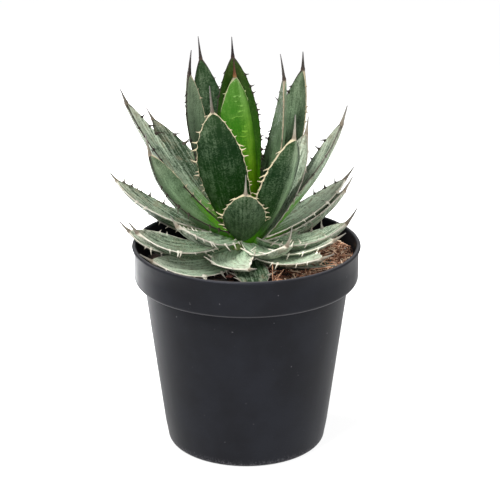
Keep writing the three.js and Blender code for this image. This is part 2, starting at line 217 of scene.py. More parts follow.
def fade(value, low, high):
    """Zero up to low, one from high on, and a soft step between."""
    options = {"interpolation_type": "SMOOTHSTEP"}
    return add("MapRange", options, Value=value, From_Min=low, From_Max=high).outputs[0]


def read(tree, name, output="Fac"):
    return add("Attribute", {"attribute_name": name}, tree).outputs[output]


def position(tree):
    return add("TexCoord", tree=tree).outputs["Object"]


def parts(vector):
    return add("SeparateXYZ", Vector=vector).outputs


def stretched(where, scales):
    return add("VectorMath", {"operation": "MULTIPLY"}, _0=where, _1=scales).outputs[0]


def speckle(where, scale, detail=3.0, rough=0.6):
    return add("TexNoise", Vector=where, Scale=scale, Detail=detail, Roughness=rough).outputs[0]


def relief(strength, depth, height):
    return add("Bump", Strength=strength, Distance=depth, Height=height).outputs[0]


def new_material(name):
    material = bpy.data.materials.new(name)
    material.use_nodes = True
    tree = material.node_tree
    return material, tree, tree.nodes["Principled BSDF"]


print("a screen's middle grey is", round(screen(128, 128, 128)[0], 3), "as light")

# %% [markdown]
# The leaves' common form
#
# The plant is a rosette: stiff leaves in a spiral round a short stem. Each leaf is one row of numbers, tuned
# until it lies where the photograph shows it, and the same rule turns every row into a blade. turn is the
# direction that it grows in, foot its height on the stem, lift and tip_lift its slopes at the foot and the
# tip, long and wide its blade, spine its end spine, cup how deep its channel is, sway its sideways
# bend, roll its turn about its own length, and twist how much that turn grows, in millimetres and degrees.
# The tone is outer where none is given. The solids of the frame follow the same rows.

# %% Leaf rows
Leaf = namedtuple("Leaf", "turn foot lift tip_lift long wide spine cup sway roll twist tone",
                  defaults=(0, 0, 0, "outer"))
LEAVES = [Leaf(*row) for row in [
    # turn, foot, lift, tip lift, long, wide, spine, cup, sway, roll, twist, tone
    (-55, 168.4, 98, 96, 114, 32, 13, 0.25, -2, -4, -4, "bud"),
    (119, 167.5, 85, 84, 128, 36, 14, 0.17, 1, 4, -14, "heart"),
    (-135, 165.1, 68, 81, 103, 35, 19, 0.23, 6, 19, 29, "inner"),
    (36, 165.4, 56, 94, 117, 33, 19, 0.2, -8, -9, -12, "inner"),
    (-89, 163.7, 25, 73, 63, 31, 15, 0.38, 3, 0, 0, "inner"),
    (149, 161, 51, 92, 127, 34, 18, 0.23, -5, 26, -22, "inner"),
    (-40, 161.5, 46, 83, 96, 36, 17, 0.35, -2, 9, -22, "inner"),
    (114, 160, 45, 73, 141, 32, 16, 0.26, 1, -1, -2, "inner"),
    (-168, 163.2, 18, 74, 93, 33, 16, 0.33, -13, 2, -29, "inner"),
    (46, 159.1, 43, 87, 134, 34, 13, 0.37, -1, -9, 7, "inner"),
    (7, 158.5, 49, 80, 90, 31, 13, 0.23, 3, 17, 13),
    (25, 158.8, 29, 66, 110, 33, 14, 0.28, 2, -30, 17),
    (92, 157, 38, 48, 112, 34, 14, 0.3, 0, 0, 0, "inner"),
    (155, 159, 33, 58, 131, 33, 11, 0.3, -6, 25, -11),
    (129, 156, 30, 37, 128, 32, 12, 0.24, -2, 6),
    (-51, 161.4, -32, 53, 51, 29, 17, 0.15, -6, -4, 6),
    (-12, 161.6, -24, 50, 77, 32, 15, 0.3, 0, -13, 21),
    (37, 156.1, 2, 32, 100, 32, 13, 0.3, 8, -8, -7),
    (151, 158.3, -6, 35, 113, 33, 11, 0.28, -6, 22, -13),
    (-131, 163.5, -2, 45, 76, 23, 12, 0.24, 6, -15, 3),
    (68, 155, 26, 34, 104, 34, 13, 0.28),
    (-157, 159.1, -20, 47, 83, 31, 13, 0.3, 4, 14, -32),
    (-24, 151.7, -1, 32, 66, 25, 11, 0.15, 1, -10, 21),
    (106, 155, 13, 20, 106, 34, 13, 0.28),
    (140, 153, 0, 16, 100, 31, 12, 0.2),
    (28, 151.7, -2, 44, 88, 30, 13, 0.28, 7, -24, -2),
    (-181, 152, -21, 40, 81, 37, 12, 0.29, -3, 19, -34),
    (-41, 150.9, -4, 24, 67, 30, 12, 0.14, 1, -9, 18),
    (82, 152, 4, 16, 100, 34, 12, 0.26),
    (-122, 154.2, -9, 6, 44, 30, 6, 0.21, 90, 10, -9),
    (-149, 146, -14, 30, 68, 34, 11, 0.12, -8, -7, -4),
    (-81, 147.5, -3, -7, 56, 25, 10, 0.14),
    (-18, 146.5, -8, 10, 64, 22, 9, 0.12),
]]
print("leaves:", len(LEAVES))

# %% [markdown]
# Every leaf's own skin
#
# Leaves differ with their age and with the light that they grew in. These numbers, read off the photograph,
# say so for each one: how much wax greys it, set higher on several leaves that lie in the shade of others
# as painted light that lifts them, how pale the horn is along its low and its high side, how pale its spine
# is, how far up it is still fresh green, and where a lighter stripe runs along it (-1 is one edge and 1 the
# other) and how strong it is, partly wax bloom and partly a painted highlight for the sheen and the lit
# side of the channel. The order is that of the rows above.

# %% Leaf skins
Skin = namedtuple("Skin", "wax low_rim high_rim spike fresh stripe_at stripe")
SKINS = [Skin(*row) for row in [
    # wax and painted light, low rim, high rim, spike, fresh, sheen stripe at, sheen stripe
    (0.04, 0.4, 0.9, 0, 0.5, 0.55, 0.42),
    (0, 0, 0, 0, 0.4, 0, 0),
    (0.02, 0.75, 0.95, 0.4, 0.28, -0.55, 0.1),
    (0.36, 0.4, 0, 0.1, 0.3, -0.6, 0.3),
    (0.22, 0.8, 0.8, 0.8, 0.12, 0, 0),
    (0.58, 0.85, 0, 0.05, 0.3, 0.5, 0.3),
    (0.06, 0.8, 0.5, 0.8, 0.25, 0.2, 0.9),
    (0.03, 0, 0, 0.05, 0.3, 0.3, 0.1),
    (0.42, 0.85, 0, 0.7, 0.4, -0.2, 0.25),
    (0.3, 0.55, 0, 0.1, 0.3, 0.3, 0.15),
    (0.5, 0.4, 0.4, 0.8, 0.2, 0, 0.2),
    (0.58, 0.1, 0, 0.6, 0.6, -0.5, 0.35),
    (0.4, 0.4, 0.4, 0.4, 0.3, 0, 0.1),
    (0.48, 0, 0, 0.3, 0.5, 0.25, 0.35),
    (0.1, 0.05, 0, 0.35, 0.3, 0, 0.05),
    (1.0, 0.95, 0.9, 0.95, 0.06, 0, 0.1),
    (0.56, 0.4, 0.2, 0.35, 0.1, 0, 0.2),
    (0.9, 0.85, 0.05, 0.5, 0.5, -0.6, 0.2),
    (0.27, 0.05, 0.6, 0.6, 0.4, 0.1, 0.4),
    (0.54, 0.8, 0.6, 0.95, 0.2, 0, 0.1),
    (0.5, 0.4, 0.4, 0.4, 0.3, 0, 0.1),
    (0.36, 0.3, 0.8, 0.6, 0.1, 0, 0.2),
    (0.6, 0.9, 0.9, 0.95, 0.1, 0, 0.15),
    (0.5, 0.4, 0.4, 0.4, 0.3, 0, 0.1),
    (0.5, 0.1, 0.4, 0.8, 0.1, 0, 0.2),
    (0.6, 0.5, 0.1, 0.8, 0.1, 0, 0.25),
    (0.52, 0.7, 0.7, 0.6, 0.1, 0, 0.2),
    (0.96, 0.75, 1.0, 0.95, 0.1, 0, 0.15),
    (0.5, 0.4, 0.4, 0.4, 0.2, 0, 0.1),
    (0.96, 0.95, 0.9, 0.9, 0.05, 0, 0.1),
    (0.84, 0.7, 0.8, 0.9, 0.05, 0.3, 0.2),
    (0.12, 0.3, 0.3, 0.4, 0.1, 0, 0),
    (0.3, 0.3, 0.2, 0.5, 0.1, 0, 0),
]]
print("palest leaf:", max(range(len(SKINS)), key=lambda k: SKINS[k].wax) + 1)

# %% [markdown]
# A leaf's middle line
#
# The blade starts just inside the stem's rounded top. Its slope changes steadily from foot to tip, so the
# line is found by adding up many short steps. At every place three directions are kept: along the leaf,
# across it, and up from its upper face. The end spine runs on with the same curve.

# %% Middle line
STEM_X = -2
STEM_RADIUS = 12
DOME_BOTTOM = 148
DOME_HEIGHT = 23
FOOT_SUNK = 3
LEAST_START = 0.5
LINE_STEPS = 240


def stem_radius(height):
    up = min(max((height - DOME_BOTTOM) / DOME_HEIGHT, 0), 1)
    return STEM_RADIUS * sqrt(1 - up * up)


def heading(leaf, share):
    slope = np.radians(leaf.lift + (leaf.tip_lift - leaf.lift) * share)
    way = np.radians(leaf.turn + leaf.sway * share)
    return np.stack([np.cos(slope) * np.cos(way), np.cos(slope) * np.sin(way), np.sin(slope)], -1), way


def middle_line(leaf, shares):
    fine = np.linspace(0, 1 + leaf.spine / leaf.long, LINE_STEPS + 1)
    steps = heading(leaf, (fine[1:] + fine[:-1]) / 2)[0] * leaf.long * np.diff(fine)[:, None]
    start = max(stem_radius(leaf.foot) - FOOT_SUNK, LEAST_START)
    turn = radians(leaf.turn)
    foot = np.array([STEM_X + start * cos(turn), start * sin(turn), leaf.foot])
    line = foot + np.vstack([np.zeros(3), np.cumsum(steps, 0)])
    centre = np.stack([np.interp(shares, fine, line[:, k]) for k in range(3)], -1)
    along, way = heading(leaf, shares)
    flat = np.stack([-np.sin(way), np.cos(way), np.zeros_like(way)], -1)
    about = np.radians(leaf.roll + leaf.twist * np.minimum(shares, 1))[:, None]
    side = flat * np.cos(about) + np.cross(along, flat) * np.sin(about)
    return centre, along, side, np.cross(along, side)


print("first leaf's spine ends at", middle_line(LEAVES[0], np.array([1.12]))[0].round(1))

# %% [markdown]
# Where the teeth stand
#
# The margin is a thin band of horn with hooked teeth at uneven steps, large ones with smaller ones between.
# The blade swells under every tooth, so the teeth are placed first. A margin is described by the teeth's
# height, their step, how far they rise above the blade or hang below it, and where they start if that is
# late. Every tone has its own, and some leaves, numbered from 1, have theirs. Two old leaves also carry
# long thorns, placed one by one as in the photograph: side, share of the length, height, and how far each
# leans towards the tip.

# %% Tooth places
TEETH = {
    "bud": (2.2, 5.5, 0.3),
    "heart": (2.5, 4.8, 0.2),
    "inner": (3.2, 6.2, 0.35),
    "outer": (3.6, 7.6, 0.35),
}
OWN_TEETH = {
    6: ((3.2, 7, 0.3), (3.4, 5, 0)),
    7: ((3.4, 5.4, 0.4), (0.8, 9, 0.4)),
    8: ((3.2, 8, 0.3), (1.5, 8, 0.3)),
    9: ((2.6, 9, 0.4, 0.2), (3.4, 6.5, -0.3)),
    12: ((3, 10, 0), (5.6, 11, 1.6, 0.35)),
    14: ((5.6, 8, 0.9, 0.72), (3, 9, -0.2, 0.3)),
    15: ((5.6, 11, 0.9, 0.3), (1.5, 9, 0)),
    16: ((4.4, 5.5, 0.8, 0.2), (4.4, 5.5, 0.9, 0.2)),
    17: ((3, 7, -0.4), (4.6, 10, 1.8, 0.15)),
    18: ((4, 9, -0.6), (1.2, 9, 0.6)),
    19: ((1, 9, 0.6), (4, 12, -0.4)),
    20: ((2.6, 6, 0.4), (3.2, 6, -0.6)),
    22: ((0.8, 9, 0.4), (2.6, 5, -1.2)),
    23: ((2.8, 6, -0.8), (3.8, 7, 0.8)),
    25: ((4.4, 11, 2, 0.2), (2, 9, -0.4)),
    26: ((3, 8, -0.4), (5, 11, 2, 0.15)),
    27: ((2.4, 10, 0.8), (3, 6, -0.8)),
    28: ((3, 7, -0.8), (3.8, 4.6, 0.9)),
    30: ((4.8, 5, 0.9), (4.8, 5, 0.6)),
    31: ((2.6, 7, -0.6), (3.6, 5, -0.9)),
}
LONG_THORNS = {
    18: [(1, 0.56, 2.6, 2), (1, 0.63, 2.6, 2), (1, 0.77, 4.4, 4.6), (1, 0.86, 4.4, 4.8),
         (1, 0.94, 3.6, 4.4)],
    19: [(-1, 0.67, 5, 3.8), (-1, 0.78, 5, 3.4), (-1, 0.84, 2.4, 2), (-1, 0.87, 2.4, 1.4),
         (-1, 0.91, 4.4, 2.8), (-1, 0.96, 5, 9)],
}
THORN_RISE = 2
TOOTHLESS_FOOT = 0.1
TOOTHLESS_TIP = 0.92
TOOTH_SEED = 400
TOOTH_SIZES = (0.25, 0.5, 0.8, 1.0, 1.3)
TOOTH_LEAN = 0.55


def tooth_rows(leaf, number):
    """Side, share, height, lean and rise of every tooth."""
    random = Random(TOOTH_SEED + number)
    rows = []
    margins = OWN_TEETH.get(number + 1, (TEETH[leaf.tone],) * 2)
    for hand, (height, step, rise, *own_start) in zip((-1, 1), margins):
        start = own_start[0] if own_start else TOOTHLESS_FOOT
        count = round(leaf.long * (TOOTHLESS_TIP - start) / step)
        for k in range(count):
            share = start + (TOOTHLESS_TIP - start) * (k + random.uniform(0.15, 0.85)) / count
            tall = height * random.choice(TOOTH_SIZES) * (0.7 + 0.5 * sin(pi * share))
            hook = random.uniform(-1.3, 0.9) * tall * TOOTH_LEAN
            rows.append((hand, share, tall, hook, rise))
    return rows + [(*thorn, THORN_RISE) for thorn in LONG_THORNS.get(number + 1, [])]


print("teeth on all leaves:", sum(len(tooth_rows(leaf, number)) for number, leaf in enumerate(LEAVES)))

# %% [markdown]
# The blade's outline and section
#
# Seen flat, a blade is widest half way and narrows to the spine. Cut across, it is a shallow channel above
# and a rounded keel below. A ring of points goes once round that section and crowds near both edges, so
# that the narrow band of horn can end in a clean line. The band's width wanders along each edge, and
# broadens where it runs into the spine.

# %% Outline and section
WIDEST_AT = 0.5
FOOT_WIDTH = 0.66
TIP_BLUNTNESS = 0.78
FOOT_THICKNESS = 5
TIP_THICKNESS = 2.6
EDGE_THICKNESS = 0.8
SPINE_RADIUS = 1.4
SPINE_END = 0.2
HORN_WIDTH = 0.3
HORN_WAVES = (31, 57, 93)
HORN_UNEVEN = 0.28
TIP_HORN = 1.1
POINTS_BETWEEN = 11


def smooth_step(value, low, high):
    t = np.clip((value - low) / (high - low), 0, 1)
    return t * t * (3 - 2 * t)


def half_width(leaf, share):
    rise = np.sin(pi / 2 * np.minimum(share / WIDEST_AT, 1))
    left = np.clip((1 - share) / (1 - WIDEST_AT), 0, 1)
    fall = np.sin(pi / 2 * left ** TIP_BLUNTNESS)
    whole = np.where(share < WIDEST_AT, FOOT_WIDTH + (1 - FOOT_WIDTH) * rise, fall)
    return np.maximum(leaf.wide / 2 * whole, SPINE_RADIUS)


def horn_width(shares, half, random):
    starts = [random.uniform(0, 2 * pi) for _ in HORN_WAVES]
    uneven = sum(np.sin(shares * wave + start) for wave, start in zip(HORN_WAVES, starts))
    width = HORN_WIDTH * (1 + HORN_UNEVEN * uneven) + TIP_HORN * smooth_step(shares, 0.93, 1.0)
    return np.clip(width, 0.1, 0.8 * half)


def section_places(half, low_horn, high_horn):
    """Places across one face from edge to edge, as shares of the half width, at every ring."""
    low, high = -(1 - low_horn / half), 1 - high_horn / half
    rows = [-np.ones_like(half), (low - 1) / 2]
    rows += [low + (high - low) * k for k in np.linspace(0, 1, POINTS_BETWEEN)]
    rows += [(1 + high) / 2, np.ones_like(half)]
    return np.stack(rows, 1)


print("half width of the second leaf at its middle:", half_width(LEAVES[1], np.array([0.5]))[0])

# %% [markdown]
# The form of a blade
#
# Rings stand closer together towards the tip. The skin is a little uneven, and the margin stands out under
# each tooth: swelling gives that for one side. two_faces gives the heights of the channel above and of the
# keel below.

# %% Blade form
BLADE_RINGS = 96
SPINE_RINGS = 16
SWELL = 0.2
SWELL_REACH = 1.5
WAVE = 0.35
WAVE_WIDTH = 12


def ring_places(leaf):
    even = np.linspace(0, 1, BLADE_RINGS + 1)
    past = np.linspace(0, 1, SPINE_RINGS + 1)[1:] ** 0.9
    return np.concatenate([1 - (1 - even) ** 1.2, 1 + past * leaf.spine / leaf.long])


def swelling(leaf, shares, teeth, hand):
    return sum(SWELL * tall * np.exp(-((shares - at) * leaf.long / SWELL_REACH) ** 2)
               for side, at, tall, _, _ in teeth if side == hand)


def two_faces(leaf, shares, across, shrink, half, starts):
    ring = shares[:, None]
    depth = (leaf.cup * half * shrink)[:, None]
    thick = (FOOT_THICKNESS + (TIP_THICKNESS - FOOT_THICKNESS) * np.minimum(shares, 1)) * shrink
    edge = np.minimum(EDGE_THICKNESS, half) * shrink
    wave = WAVE * np.sin(across * 4 + ring * 9 + starts[0]) * np.sin(ring * 13 + starts[1])
    wave *= np.minimum(half / WAVE_WIDTH, 1)[:, None] * (1 - across ** 2) + 0.25 * np.abs(across) ** 3
    upper = depth * across ** 2 + wave * (ring < 1)
    return upper, upper - (edge[:, None] + (thick - edge)[:, None] * (1 - across ** 2))


print("rings on each leaf:", len(ring_places(LEAVES[0])))

# %% [markdown]
# Building a blade
#
# The rings are joined into one closed skin. While the points are made, each one also gets the numbers that
# its material needs: how far along and across it lies, how far inside the horn's inner line, how waxy it
# is, with the painted light carried by the leaf's wax number and its painted sheen stripe, and how pale its
# horn and its spine are. ripe is 0 on the skin and grows to 1 at the spine's point.
# The places of one leaf are set apart from the next one's, so that no two carry the same marks.

# %% Blade
BLADE_SEED = 900
SHEEN_STRIPE_WIDTH = 0.28
WAX_AT_FOOT = 0.82
WAX_GAIN = 0.26
WAX_BELOW = 0.82
LEAF_APART = 31.0
HORN_FROM = 0.99


def pale_wax_and_sheen(skin, shares, across, under):
    """Wax with painted light, more so towards the tip and less below, plus a painted sheen stripe."""
    lit = skin.stripe * np.exp(-((across - skin.stripe_at) / SHEEN_STRIPE_WIDTH) ** 2)
    return (skin.wax + lit) * (WAX_AT_FOOT + WAX_GAIN * np.minimum(shares, 1)) * (WAX_BELOW if under else 1)


def blade(leaf, number, teeth):
    random = Random(BLADE_SEED + number)
    skin = SKINS[number]
    shares = ring_places(leaf)
    centre, _, side, up = middle_line(leaf, shares)
    spine = np.clip((shares - 1) * leaf.long / leaf.spine, 0, 1)
    shrink = 1 - (1 - SPINE_END) * spine ** 0.6
    half = half_width(leaf, shares)
    horns = [horn_width(shares, half, random) for _ in range(2)]
    across = section_places(half, *horns)
    starts = [random.uniform(0, 2 * pi) for _ in range(2)]

    def by_side(low, high):
        return np.where(across < 0, low[:, None], high[:, None])

    swell = by_side(*[swelling(leaf, shares, teeth, hand) for hand in (-1, 1)])
    sideways = across * (half * shrink)[:, None] + np.sign(across) * swell * np.abs(across) ** 6
    upper, keel = two_faces(leaf, shares, across, shrink, half, starts)
    inside = (1 - np.abs(across)) * half[:, None] - by_side(*horns)
    inside = np.where(shares[:, None] >= HORN_FROM, -1, inside)
    count = across.shape[1]
    once_round = [(0, j, upper) for j in range(count)] + [(1, j, keel) for j in reversed(range(count))]
    rings, place, zone, look = [], [], [], []
    for under, j, heights in once_round:
        rings.append((centre + side * sideways[:, j, None] + up * heights[:, j, None]).T)
        place.append([sideways[:, j], shares * leaf.long, np.full_like(shares, number * LEAF_APART)])
        zone.append([shares, inside[:, j], shares / skin.fresh])
        rim = np.full_like(shares, skin.low_rim if j < count / 2 else skin.high_rim)
        look.append([pale_wax_and_sheen(skin, shares, across[:, j], under), rim, np.full_like(shares, skin.spike)])
    ripe = np.where(shares > 1, 0.6 + 0.4 * spine, 0.58 * smooth_step(shares, 0.95, 1.0))
    points, *stored = [np.transpose(rows, (2, 0, 1)).reshape(-1, 3) for rows in (rings, place, zone, look)]
    faces = join_rings(len(shares), len(once_round), turned_over=True)
    return points, faces, *stored, np.repeat(ripe, len(once_round))


print("points on the first blade:", len(blade(LEAVES[0], 0, tooth_rows(LEAVES[0], 0))[0]))

# %% [markdown]
# Building the teeth
#
# A tooth is a small curved claw. Its six-sided rings shrink quickly at first and then slowly, which gives
# the concave sides of a real thorn. Each ring is a reach, as a share of the tooth's height, and a width.
# The root sits inside the margin, so no gap shows.

# %% Teeth
TOOTH_SIDES = 6
TOOTH_RINGS = [(-0.35, 1.0), (0.0, 0.9), (0.16, 0.58), (0.38, 0.42), (0.7, 0.3), (1.0, 0.12)]
TOOTH_COMMON = 3.2
TOOTH_ROOT = 1.1
TOOTH_THICK = 0.52


def claws(leaf, number, teeth):
    skin = SKINS[number]
    points, faces, place, zone, look, ripe = [], [], [], [], [], []
    centre, along, side, up = middle_line(leaf, np.array([row[1] for row in teeth]))
    half = half_width(leaf, np.array([row[1] for row in teeth]))
    for k, (hand, share, tall, hook, rise) in enumerate(teeth):
        out = hand * side[k] + rise * up[k]
        out /= np.linalg.norm(out)
        flat = np.cross(out, along[k])
        edge = centre[k] + hand * half[k] * side[k] + (leaf.cup * half[k] - EDGE_THICKNESS / 2) * up[k]
        edge = edge + 0.1 * tall * out
        size = sqrt(sqrt(tall ** 2 + hook ** 2) / TOOTH_COMMON)
        faces += join_rings(len(TOOTH_RINGS), TOOTH_SIDES, len(points))
        for reach, width in TOOTH_RINGS:
            grown = max(reach, 0)
            middle = edge + out * reach * tall + along[k] * hook * grown ** 1.6
            broad = width * TOOTH_ROOT * size
            thick = (0.35 + 0.65 * width) * TOOTH_THICK * size
            points += [middle + along[k] * c * broad + flat * s * thick for c, s in circle(TOOTH_SIDES)]
            place += [(hand * half[k], share * leaf.long, number * LEAF_APART)] * TOOTH_SIDES
            zone += [(share, -1.0, 1.0)] * TOOTH_SIDES
            look += [(0.0, skin.low_rim if hand < 0 else skin.high_rim, skin.spike)] * TOOTH_SIDES
            ripe += [0.5 * grown] * TOOTH_SIDES
    return points, faces, place, zone, look, ripe


print("rings on each tooth:", len(TOOTH_RINGS))

# %% [markdown]
# Colours of the leaves
#
# Four tones cover the plant, from the fresh bud to the old outer leaves. Each has a green for its foot,
# a green and a waxed colour that change along the leaf, the strength of its prints, dirt, streaks, grain
# and flecks, and the colour of a pale rim. whole is 1 where the prints run on unbroken. A spike's colours
# go from its root at 0.5 to its point at 1.

# %% Leaf colours
TONES = {
    "bud": dict(
        fresh=(104, 150, 0), green=[(0.3, (50, 106, 0)), (0.7, (40, 92, 8)), (1.0, (60, 98, 30))],
        pale_wax_and_sheen=[(0.3, (150, 190, 30)), (0.7, (136, 186, 70)), (1.0, (150, 190, 120))],
        prints=0.36, whole=1, soiled=0, streaks=0.14, grain=0.2, flecks=0.1, rim=(196, 206, 150)),
    "heart": dict(
        fresh=(90, 145, 0), green=[(0.3, (34, 76, 0)), (0.75, (20, 50, 0)), (1.0, (40, 54, 14))],
        pale_wax_and_sheen=[(0.3, (110, 150, 60)), (1.0, (100, 130, 70))],
        prints=0, whole=0, soiled=0, streaks=0.2, grain=0.4, flecks=0.1, rim=(170, 150, 110)),
    "inner": dict(
        fresh=(56, 112, 0), green=[(0.3, (10, 44, 0)), (0.7, (6, 34, 6)), (1.0, (30, 54, 24))],
        pale_wax_and_sheen=[(0.3, (120, 148, 106)), (0.7, (134, 160, 124)), (1.0, (146, 160, 132))],
        prints=0.08, whole=0, soiled=0, streaks=0.25, grain=0.42, flecks=0.12, rim=(206, 192, 158)),
    "outer": dict(
        fresh=(86, 152, 4), green=[(0.2, (30, 52, 26)), (0.8, (34, 52, 32)), (1.0, (60, 62, 46))],
        pale_wax_and_sheen=[(0.2, (170, 194, 162)), (0.7, (190, 207, 181)), (1.0, (188, 193, 174))],
        prints=0.08, whole=0, soiled=0.6, streaks=0.7, grain=0.56, flecks=0.34, rim=(226, 222, 206)),
}
DIRT = screen(98, 88, 66)
DARK_RIM = screen(44, 40, 34)
WORN_DARK_RIM = screen(60, 54, 46)
WORN_PALE_RIM = screen(172, 162, 142)
YOUNG_SPIKE = [(0.5, (124, 98, 58)), (0.62, (92, 58, 38)), (0.8, (64, 42, 34)), (1.0, (52, 42, 38))]
DARK_SPIKE = [(0.5, (58, 44, 36)), (0.62, (34, 27, 27)), (0.75, (34, 29, 30)), (0.88, (54, 50, 52)),
              (1.0, (84, 80, 82))]
PALE_SPIKE = [(0.5, (176, 166, 146)), (0.6, (136, 124, 108)), (0.72, (152, 146, 132)),
              (0.88, (136, 132, 122)), (1.0, (122, 120, 114))]
print("tones:", *TONES)

# %% [markdown]
# The skin of the leaves
#
# A leaf is not one green. Its foot is bright because it grew in shade, its middle is dark, and a thin
# bloom of wax greys it towards the tip. Fine streaks run lengthwise, and pale prints show where it lay
# against its neighbour in the bud. The material mixes a green and a waxed colour by the numbers that are
# stored with the points, which also carry painted light: a painted sheen stripe, and more paleness on
# leaves that lie in shade.

# %% Leaf material
def bud_prints(place, share, streaks, patches, whole):
    """Bowed lines across the leaf's middle, which the streaks break up."""
    across, along, _ = parts(place)
    off_middle = math("ABSOLUTE", across)
    bowed = times(math("POWER", off_middle, 2.0), 0.03)
    rows = math("SINE", plus(plus(times(along, 1.7), bowed), times(patches, 16.0)))
    broken = math("MAXIMUM", fade(streaks, 0.46, 0.6), whole)
    printed = times(times(fade(rows, 0.5, 1.0), broken), fade(patches, 0.48, 0.6))
    return times(times(printed, rest(fade(off_middle, 3.0, 8.0))), fade(share, 0.3, 0.5))


def horn_and_spike(tone, rim, spike, ripe, patches):
    """The rim's colour, which wears in places and turns into the spike's."""
    edge = mix(rim, DARK_RIM, screen(*TONES[tone]["rim"]))
    wear_and_highlight = times(fade(patches, 0.42, 0.62), 0.45)
    wear_and_highlight = plus(wear_and_highlight, times(fade(ripe, 0.1, 0.5), 0.4), clamp=True)
    edge = mix(wear_and_highlight, edge, mix(rim, WORN_DARK_RIM, WORN_PALE_RIM))
    dark = ramp(ripe, YOUNG_SPIKE if tone == "bud" else DARK_SPIKE)
    return mix(fade(ripe, 0.45, 0.56), edge, mix(spike, dark, ramp(ripe, PALE_SPIKE)))


def leaf_material(tone):
    look = TONES[tone]
    material, tree, shader = new_material("agave_" + tone)
    share, inside, old = parts(read(tree, "leaf_zone", "Vector"))
    # The stored wax number also carries painted light: the sheen stripe and the lift of shaded leaves.
    wax, rim, spike = parts(read(tree, "leaf_look", "Vector"))
    place = read(tree, "leaf_place", "Vector")
    streaks = speckle(stretched(place, (0.6, 0.03, 1.0)), 1.0, detail=4.0, rough=0.7)
    patches = speckle(place, 0.11)
    flecks = speckle(stretched(place, (0.36, 0.12, 1.0)), 1.0, detail=2.0)
    grain = speckle(place, 0.85, rough=0.8)

    green = ramp(plus(share, swing(patches, 0.3)), look["green"])
    grown = fade(plus(old, swing(streaks, 0.9)), 0.25, 1.0)
    green = mix(grown, screen(*look["fresh"]), green)

    lines = swing(fade(streaks, 0.38, 0.62), look["streaks"])
    specks = swing(fade(grain, 0.38, 0.64), look["grain"])
    marks = plus(swing(fade(flecks, 0.36, 0.64), look["flecks"]), swing(patches, 0.8))
    uneven = times(plus(plus(lines, specks), marks), plus(times(wax, 0.6), 0.4))
    amount = times(plus(wax, uneven), plus(times(grown, 0.85), 0.15))
    printed = bud_prints(place, share, streaks, patches, look["whole"])
    amount = plus(amount, times(printed, look["prints"]), clamp=True)
    skin = mix(amount, green, ramp(share, look["pale_wax_and_sheen"]))

    soiled = times(fade(flecks, 0.46, 0.62), fade(patches, 0.44, 0.58))
    skin = mix(times(soiled, look["soiled"]), skin, DIRT)
    armed = horn_and_spike(tone, rim, spike, read(tree, "leaf_ripe"), patches)
    ragged = plus(inside, swing(grain, 0.9))
    bumps = plus(plus(times(streaks, 0.8), times(grain, 0.6)), times(printed, 0.5))
    feed(shader, Base_Color=mix(fade(ragged, -0.1, 0.1), armed, skin), Normal=relief(0.9, 0.0007, bumps),
         Roughness=plus(times(grain, 0.3), 0.36), Specular_IOR_Level=0.1)
    return material


leaf_materials = {tone: leaf_material(tone) for tone in TONES}
print("leaf materials:", sorted(leaf_materials))

# %% [markdown]
# Growing every leaf
#
# With the parts ready, each row becomes one object that replaces its solid. The claws join their blade in
# the same mesh, as a real tooth is part of the leaf that it arms.

# %% Leaves
STORED = ("leaf_place", "leaf_zone", "leaf_look", "leaf_ripe")
leaf_total = 0
for number, leaf in enumerate(LEAVES):
    teeth = tooth_rows(leaf, number)
    skin_points, skin_faces, *skin_values = blade(leaf, number, teeth)
    claw_points, claw_faces, *claw_values = claws(leaf, number, teeth)
    offset = len(skin_points)
    points = np.vstack([skin_points, claw_points])
    faces = skin_faces + [tuple(offset + k for k in face) for face in claw_faces]
    piece = new_piece(f"agave_leaf_{number + 1:02d}", points, faces, leaf_materials[leaf.tone])
    for name, both in zip(STORED, zip(skin_values, claw_values)):
        store(piece, name, np.concatenate(both))
    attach(piece, "root")
    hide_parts(f"leaf_{number + 1:02d}")
    leaf_total += triangles(piece)
print("triangles in the leaves:", leaf_total)

# %% [markdown]
# The pot
#
# A nursery pot is one moulded shell: a tapering body, a wider band that stacks on the next pot, and a small
# rounded lip. It is made by carrying one outline round an axis. The outline is the solid's, with more
# sides so that its edge looks round.

# %% Pot outline
POT_HEIGHT = 157
LIP_RADIUS = 85
LIP_HEIGHT = 3
BAND_RADIUS = 83.6
BAND_HEIGHT = 28.5
BAND_ROUND = 4
BODY_TOP_RADIUS = 76.6
FOOT_RADIUS = 60
FOOT_ROUND = 4.4
WALL = 2
FLOOR = 2.6
DISC_RADIUS = 40
POT_SIDES = 160
BAND_FOOT = POT_HEIGHT - BAND_HEIGHT


def corner(radius, height, rounding, start, end, steps):
    angles = [radians(start + (end - start) * k / steps) for k in range(steps + 1)]
    return [(radius + rounding * cos(a), height + rounding * sin(a)) for a in angles]


def wall_radius(height):
    return FOOT_RADIUS + (BODY_TOP_RADIUS - FOOT_RADIUS) * height / BAND_FOOT


def inside_outline():
    corner_height = BAND_FOOT + BAND_ROUND + WALL
    return [
        (BAND_RADIUS - WALL, POT_HEIGHT - LIP_HEIGHT),
        *corner(BAND_RADIUS - BAND_ROUND, corner_height, BAND_ROUND - WALL, 0, -60, 4),
        (BODY_TOP_RADIUS - WALL, BAND_FOOT + WALL),
        *[(wall_radius(h) - WALL, h) for h in (100, 70, 40, 20)],
        (wall_radius(FLOOR) - WALL, FLOOR),
        (DISC_RADIUS, FLOOR),
    ]


